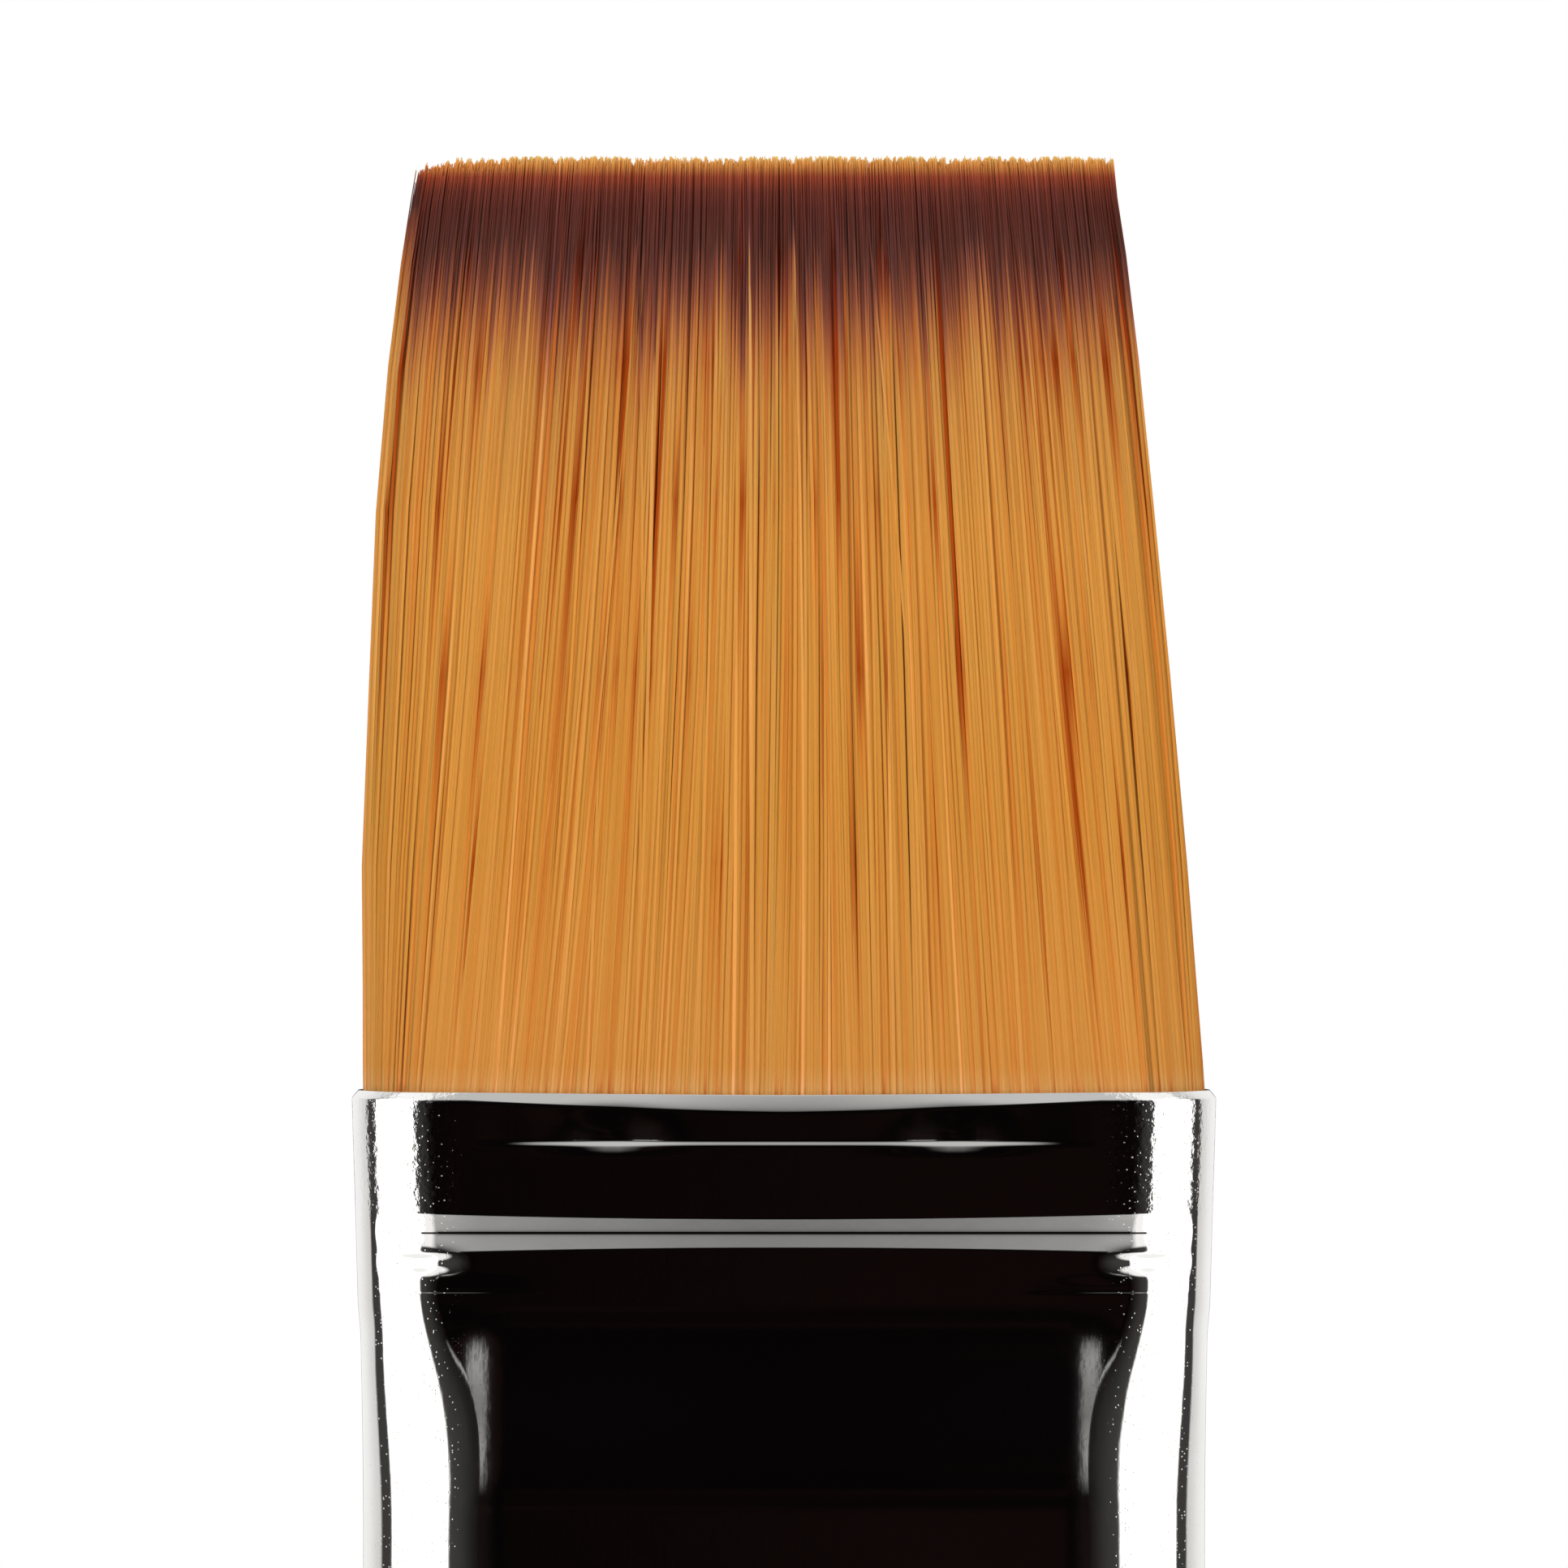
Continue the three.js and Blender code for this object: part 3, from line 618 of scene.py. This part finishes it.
def half_sizes(depth):
    """Half the tube's width and half its thickness at a depth below the mouth, and how round it is there.

    The width flares a little at the mouth. The thickness swells below the crimp. From the taper down, both
    ease to the collar's radius, and each round crimp takes a half cosine out of them.
    """
    round_share = ease(depth, taper_depth, ferrule_length - collar_length)
    flare = np.clip(1 - depth / flare_depth, 0, 1) ** 1.6
    width = body_half_width + (mouth_half_width - body_half_width) * flare
    swell = ease(depth, swell_depth, swell_depth + swell_height)
    thickness = mouth_half_thickness + (body_half_thickness - mouth_half_thickness) * swell
    crimps = sum(
        crimp_bite * np.cos(np.clip((depth - middle) / crimp_height, -0.5, 0.5) * math.pi)
        for middle in crimp_depths
    )
    width, thickness = (half + (collar_radius - half) * round_share - crimps for half in (width, thickness))
    return width, thickness, round_share


def end_reach(depth, thickness):
    """How far the rounding of each side reaches in from it: tight at the lip, wide where the tube swells."""
    reach = thickness - 0.2 * mm
    return reach + 0.6 * mm * ease(depth, 5.8 * mm, 9 * mm) - 0.4 * mm * ease(depth, 9.2 * mm, 13 * mm)


def pressed(depth, x, past):
    """How deep the press marks are at a depth, a place across, and a distance past the end of the flat.

    The lip above the fold stands back a little, and in two places the fold has a soft hollow. The crimp is a
    V with a rounded bottom, wider and deeper towards its ends, where the die pinched it in; a second pinch
    and a fine crease lie just below. All of them run out round the sides, whose corners are eased.
    """
    fold = 1 - ease(depth, lip_height, lip_height + fold_height)
    lip = lip_inset * fold * (1 - ease(past, -3.4 * mm, -1.0 * mm))
    hollow = ease(depth, 0.2 * mm, 1.3 * mm) * (1 - ease(depth, 1.33 * mm, 1.85 * mm))
    lip = lip + 0.12 * mm * hump(np.abs(x), 5.1 * mm, 1.3 * mm) * hollow
    outward = np.clip(np.abs(x) / (9 * mm), 0, 1.2) ** 2
    away = np.abs(depth - groove_depth) / ((groove_height + 0.2 * mm * outward) / 2)
    groove = np.clip(1 - (np.sqrt(away**2 + 0.004) - math.sqrt(0.004)), 0, 1)
    pinch = ease(past, -1.5 * mm, 0.5 * mm)
    run_out = 1 - ease(past, 1.1 * mm, 2.35 * mm)
    crimp = groove * (groove_bite + 0.06 * mm * outward + 0.03 * mm * pinch) * run_out
    lower = 0.26 * mm * hump(depth, 5.03 * mm, 0.3 * mm) * ease(past, -1.0 * mm, 0.7 * mm) * run_out
    crease = 0.025 * mm * (1 - ease(depth, 5.86 * mm, 5.98 * mm)) * ease(depth, 5.3 * mm, 5.8 * mm)
    crease = crease * ease(np.abs(x), 7 * mm, 9.5 * mm) * run_out
    eased = 0.06 * mm * ease(np.abs(x), 8.35 * mm, 9.95 * mm) * ease(depth, 6.2 * mm, 7.4 * mm)
    return lip + crimp + lower + crease + eased


def settle(depth, x):
    """The true depth of each point near the mouth, whose rolled rim is taller, and lower, in the middle."""
    side = np.clip(np.abs(x) / (9.5 * mm), 0, 1) ** 1.4
    rim = (0.53 - 0.29 * side) * mm
    top = -0.08 * mm * side
    upper = top + np.minimum(depth, rim_height) / rim_height * rim
    below = np.clip((depth - rim_height) / (lip_height - rim_height), 0, 1)
    return np.where(depth < lip_height, upper + (lip_height - rim - top) * below, depth)


def tube_rings(depth, inset, flat_points=64, end_points=60):
    """Rings of the tube's outline at each depth, drawn in by an inset.

    Every point lies between its place on a flat section with round ends and its place on an ellipse, by
    how round the tube is there, and is then pressed in along the flat section's normal.
    """
    width, thickness, round_share = (part[:, None] for part in half_sizes(depth))
    depth, inset = depth[:, None], inset[:, None]
    width, thickness = width - inset, thickness - inset
    along = np.sin(np.linspace(-1, 1, flat_points, endpoint=False) * math.pi / 2)
    turn = np.linspace(0, math.pi, end_points, endpoint=False)
    reach = end_reach(depth, thickness)
    flat_half = width - reach
    normal_x = np.hstack([0 * along, np.sin(turn)])
    normal_y = np.hstack([1 + 0 * along, np.cos(turn)])
    flat_x = np.hstack([flat_half * along, flat_half + reach * np.sin(turn)])
    flat_y = thickness * normal_y
    past_end = thickness * np.minimum(turn, math.pi - turn)
    past = np.hstack([np.abs(flat_half * along) - flat_half, past_end])
    press = pressed(depth, flat_x, past)
    flat_x, flat_y = flat_x - normal_x * press, flat_y - normal_y * press
    angle = np.hstack([along * flat_spread, flat_spread + (math.pi - 2 * flat_spread) * turn / math.pi])
    x = flat_x + (width * np.sin(angle) - flat_x) * round_share
    y = flat_y + (thickness * np.cos(angle) - flat_y) * round_share
    z = mouth - settle(depth, x)
    x, y, z = np.hstack([x, -x]), np.hstack([-y, y]), np.hstack([z, z])
    return np.stack([x, y, z], axis=-1)


def skin(name, rings, looped=False):
    """A smooth mesh over rings of points, as an object of that name.

    A looped row of rings joins its last ring to its first, as a tube with a wall does; otherwise each end
    closes on a point at the middle of its ring. Rings run anticlockwise seen from where the rows run to,
    so the faces look outwards.
    """
    rows, count = rings.shape[:2]
    points = rings.reshape(-1, 3)
    low = np.arange(rows if looped else rows - 1)[:, None] * count
    high = (low + count) % (rows * count)
    here, after = np.arange(count), (np.arange(count) + 1) % count
    faces = np.stack([low + here, low + after, high + after, high + here], axis=-1).reshape(-1, 4).tolist()
    if not looped:
        points = np.vstack([points, rings[0].mean(axis=0), rings[-1].mean(axis=0)])
        start, finish, last = rows * count, rows * count + 1, (rows - 1) * count
        faces += np.stack([0 * here + start, after, here], axis=-1).tolist()
        faces += np.stack([0 * here + finish, last + here, last + after], axis=-1).tolist()
    mesh = bpy.data.meshes.new(name)
    mesh.from_pydata(points.tolist(), [], faces)
    mesh.shade_smooth()
    piece = bpy.data.objects.new(name, mesh)
    scene.collection.objects.link(piece)
    return piece


def speck_group():
    """A shader group that gives small round specks: 1 at the middle of a share of its cells, 0 elsewhere."""
    group = bpy.data.node_groups.new("specks", "ShaderNodeTree")
    group.interface.new_socket("Vector", in_out="INPUT", socket_type="NodeSocketVector")
    group.interface.new_socket("Scale", in_out="INPUT", socket_type="NodeSocketFloat")
    group.interface.new_socket("Share", in_out="INPUT", socket_type="NodeSocketFloat")
    group.interface.new_socket("Speck", in_out="OUTPUT", socket_type="NodeSocketFloat")
    given = add(group, "NodeGroupInput").outputs
    cells = add(group, "ShaderNodeTexVoronoi", {"Vector": given["Vector"], "Scale": given["Scale"]}).outputs
    chance = add(group, "ShaderNodeSeparateColor", {0: cells["Color"]}).outputs[0]
    chosen = math_node(group, "LESS_THAN", chance, given["Share"])
    dot = rise(group, cells["Distance"], 0.1, 0.34, 1.0, 0.0)
    add(group, "NodeGroupOutput", {"Speck": math_node(group, "MULTIPLY", chosen, dot)})
    return group


specks = speck_group()


def plated_metal():
    """Bright nickel plate: a mirror with faint drawn lines, small ripples that are stronger where the lip
    was pressed, and fine specks."""
    material = bpy.data.materials.new("nickel_plate")
    material.use_nodes = True
    tree = material.node_tree
    metal = tree.nodes["Principled BSDF"]
    place = add(tree, "ShaderNodeTexCoord").outputs["Object"]
    axes = add(tree, "ShaderNodeSeparateXYZ", {0: place}).outputs
    drawn_place = add(tree, "ShaderNodeMapping", {"Vector": place, "Scale": (1, 1, 0.05)}).outputs[0]
    drawn = add(tree, "ShaderNodeTexNoise", {"Vector": drawn_place, "Scale": 9000.0, "Detail": 3.0}).outputs[0]
    ripple = add(tree, "ShaderNodeTexNoise", {"Vector": place, "Scale": 1100.0, "Detail": 2.0}).outputs[0]
    fine_ripple = add(tree, "ShaderNodeTexNoise", {"Vector": place, "Scale": 5200.0, "Detail": 3.0}).outputs[0]
    speck = add(tree, "ShaderNodeGroup", node_tree=specks)
    tree.links.new(place, speck.inputs["Vector"])
    speck.inputs["Scale"].default_value = 12000.0
    speck.inputs["Share"].default_value = 0.15
    wear = add(tree, "ShaderNodeTexNoise", {"Vector": place, "Scale": 160.0, "Detail": 4.0}).outputs[0]
    lip = rise(tree, axes["Z"], mouth - 3.8 * mm, mouth - 3.4 * mm)
    corner = rise(tree, math_node(tree, "ABSOLUTE", axes["X"]), 9.4 * mm, 10.4 * mm)
    strain = math_node(tree, "MULTIPLY_ADD", math_node(tree, "MULTIPLY", lip, corner), 12.0, 0.4)
    height = math_node(tree, "MULTIPLY", ripple, 2.2)
    height = math_node(tree, "MULTIPLY_ADD", drawn, 0.4, height)
    height = math_node(tree, "MULTIPLY_ADD", fine_ripple, strain, height)
    pit_depth = math_node(tree, "MULTIPLY_ADD", corner, -5.0, -0.15)
    height = math_node(tree, "ADD", height, math_node(tree, "MULTIPLY", speck.outputs[0], pit_depth))
    bump = add(tree, "ShaderNodeBump", {"Height": height, "Distance": 0.000001}).outputs[0]
    colour = mixed(tree, "MIX", rise(tree, wear, 0.3, 0.7), (0.80, 0.79, 0.76, 1), (0.87, 0.865, 0.85, 1))
    tree.links.new(colour, metal.inputs["Base Color"])
    tree.links.new(rise(tree, wear, 0.3, 0.7, 0.065, 0.045), metal.inputs["Roughness"])
    tree.links.new(bump, metal.inputs["Normal"])
    metal.inputs["Metallic"].default_value = 1
    return material


def make_ferrule():
    """The profile runs up the outside, over the rolled rim, down the bore and back across the lower edge."""
    def steps(start, finish, count):
        return np.linspace(start, finish, count, endpoint=False) * mm

    bottom = ferrule_length / mm
    outside = np.concatenate([
        steps(bottom, 36, 60), steps(36, 16, 44), steps(16, 6.2, 48), steps(6.2, 5.7, 18),
        steps(5.7, 4.7, 22), steps(4.7, 3.4, 62), steps(3.4, 2.1, 12), steps(2.1, 1.2, 20),
        steps(1.2, rim_height / mm, 8),
    ])
    over = np.linspace(1, 0, 14)
    inside = np.concatenate([
        steps(0, 1.2, 6), steps(1.2, 6, 10), steps(6, 16, 8), steps(16, 36, 12), steps(36, bottom, 8),
        [ferrule_length],
    ])
    depth = np.concatenate([outside, over * rim_height, inside])
    inset = np.concatenate([0 * outside, rim_inset * (1 - over) ** 1.12, 0 * inside + ferrule_wall])
    piece = skin("ferrule_tube", tube_rings(depth, inset), looped=True)
    piece.data.materials.append(plated_metal())
    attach(piece, "root")
    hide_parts("ferrule")


make_ferrule()

# ------------------------------------------------------------------------------------------------------
# Tenon glue: wood glue that squeezed up past the handle's tenon into the flatter part of the bore.
# ------------------------------------------------------------------------------------------------------

dress("tenon_glue", resin_material("set_wood_glue", (0.72, 0.58, 0.30, 1), (0.60, 0.44, 0.18, 1), 0.35))

# ------------------------------------------------------------------------------------------------------
# Handle: turned hardwood, stained dark mahogany under thick clear gloss lacquer. Its tenon goes up into
# the ferrule, and the shoulder stands just proud of the collar.
# ------------------------------------------------------------------------------------------------------

handle_length = ferrule_low.z
handle_stations = np.array([
    [3.2, 3.2], [3.45, 24], [5.65, 66], [7.395, 108], [6.65, handle_length / mm],  # radius, height
]) * mm
tenon_length = 18 * mm
tenon_chamfer = 0.8 * mm
tenon_fit = 0.55 * mm  # under the ferrule's own half thickness: its wall and the room for glue


def smooth_curve(points, count):
    """A uniform Catmull-Rom curve through the points, with its end points repeated."""
    knots = np.vstack([points[:1], points, points[-1:]])
    place = np.linspace(0, len(points) - 1, count)
    span = np.minimum(place.astype(int), len(points) - 2)
    t = (place - span)[:, None]
    before, start, finish, after = (knots[span + i] for i in range(4))
    bend = (2 * before - 5 * start + 4 * finish - after) * t
    bend = bend + (3 * start - 3 * finish + after - before) * t * t
    return start + 0.5 * t * (finish - before + bend)


def lacquered_wood():
    """Dark stained wood with long grain and pores along the handle, under a clear gloss coat."""
    material = bpy.data.materials.new("lacquered_wood")
    material.use_nodes = True
    tree = material.node_tree
    wood = tree.nodes["Principled BSDF"]
    place = add(tree, "ShaderNodeTexCoord").outputs["Object"]
    stretch = {"Vector": place, "Scale": (1, 1, 0.055), "Location": (0.002, 0.001, 0)}
    long_place = add(tree, "ShaderNodeMapping", stretch).outputs[0]
    grain = add(tree, "ShaderNodeTexNoise", {
        "Vector": long_place, "Scale": 900.0, "Detail": 5.0, "Distortion": 0.6,
    }).outputs[0]
    rings = add(tree, "ShaderNodeTexWave", {
        "Vector": long_place, "Scale": 160.0, "Distortion": 4.0, "Detail": 3.0, "Detail Scale": 2.0,
    }, bands_direction="X").outputs[1]
    pores = add(tree, "ShaderNodeTexNoise", {"Vector": long_place, "Scale": 5200.0, "Detail": 2.0}).outputs[0]
    late_wood, early_wood, pore = (0.022, 0.006, 0.005, 1), (0.095, 0.024, 0.015, 1), (0.008, 0.004, 0.004, 1)
    ring_tint = mixed(tree, "MIX", rings, (0.45, 0.38, 0.36, 1), (1.25, 1.2, 1.15, 1))
    figure = mixed(tree, "MIX", rise(tree, grain, 0.3, 0.72), late_wood, early_wood)
    figure = mixed(tree, "MULTIPLY", 0.55, figure, ring_tint)
    figure = mixed(tree, "MIX", rise(tree, pores, 0.62, 0.7), figure, pore)
    peel = add(tree, "ShaderNodeTexNoise", {"Vector": place, "Scale": 700.0, "Detail": 1.0}).outputs[0]
    speck = add(tree, "ShaderNodeGroup", node_tree=specks)
    tree.links.new(place, speck.inputs["Vector"])
    speck.inputs["Scale"].default_value = 1400.0
    speck.inputs["Share"].default_value = 0.03
    height = math_node(tree, "MULTIPLY", speck.outputs[0], 6.0)
    height = math_node(tree, "ADD", math_node(tree, "MULTIPLY", peel, 4.0), height)
    bump = add(tree, "ShaderNodeBump", {"Height": height, "Distance": 0.000001}).outputs[0]
    tree.links.new(figure, wood.inputs["Base Color"])
    tree.links.new(rise(tree, grain, 0.3, 0.7, 0.34, 0.22), wood.inputs["Roughness"])
    tree.links.new(bump, wood.inputs["Normal"])
    wood.inputs["Coat Weight"].default_value = 1
    wood.inputs["Coat Roughness"].default_value = 0.04
    return material


def make_handle():
    """Turns the outline round the brush's axis: a domed end, the swelling grip, a shoulder and the tenon."""
    end_radius = handle_stations[0, 0]
    dome = np.linspace(0.04, math.pi / 2, 18, endpoint=False)
    dome = np.stack([end_radius * np.sin(dome), end_radius * (1 - np.cos(dome))], axis=-1)
    grip = smooth_curve(handle_stations, 150)
    tenon_depth = np.linspace(ferrule_length, ferrule_length - tenon_length + tenon_chamfer, 60)
    tenon_top = ferrule_length - tenon_length
    tenon = np.stack([half_sizes(tenon_depth)[1] - tenon_fit, mouth - tenon_depth], axis=-1)
    nose_radius = half_sizes(np.array([tenon_top]))[1][0] - tenon_fit - tenon_chamfer
    nose = np.array([[nose_radius, mouth - tenon_top]])
    outline = np.vstack([dome, grip, tenon, nose])
    turn = np.linspace(0, 2 * math.pi, 96, endpoint=False)
    radius, height = outline[:, :1], outline[:, 1:]
    rings = np.stack([radius * np.cos(turn), radius * np.sin(turn), height + 0 * turn], axis=-1)
    piece = skin("handle_turned", rings)
    piece.data.materials.append(lacquered_wood())
    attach(piece, "root")
    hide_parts("handle")


make_handle()
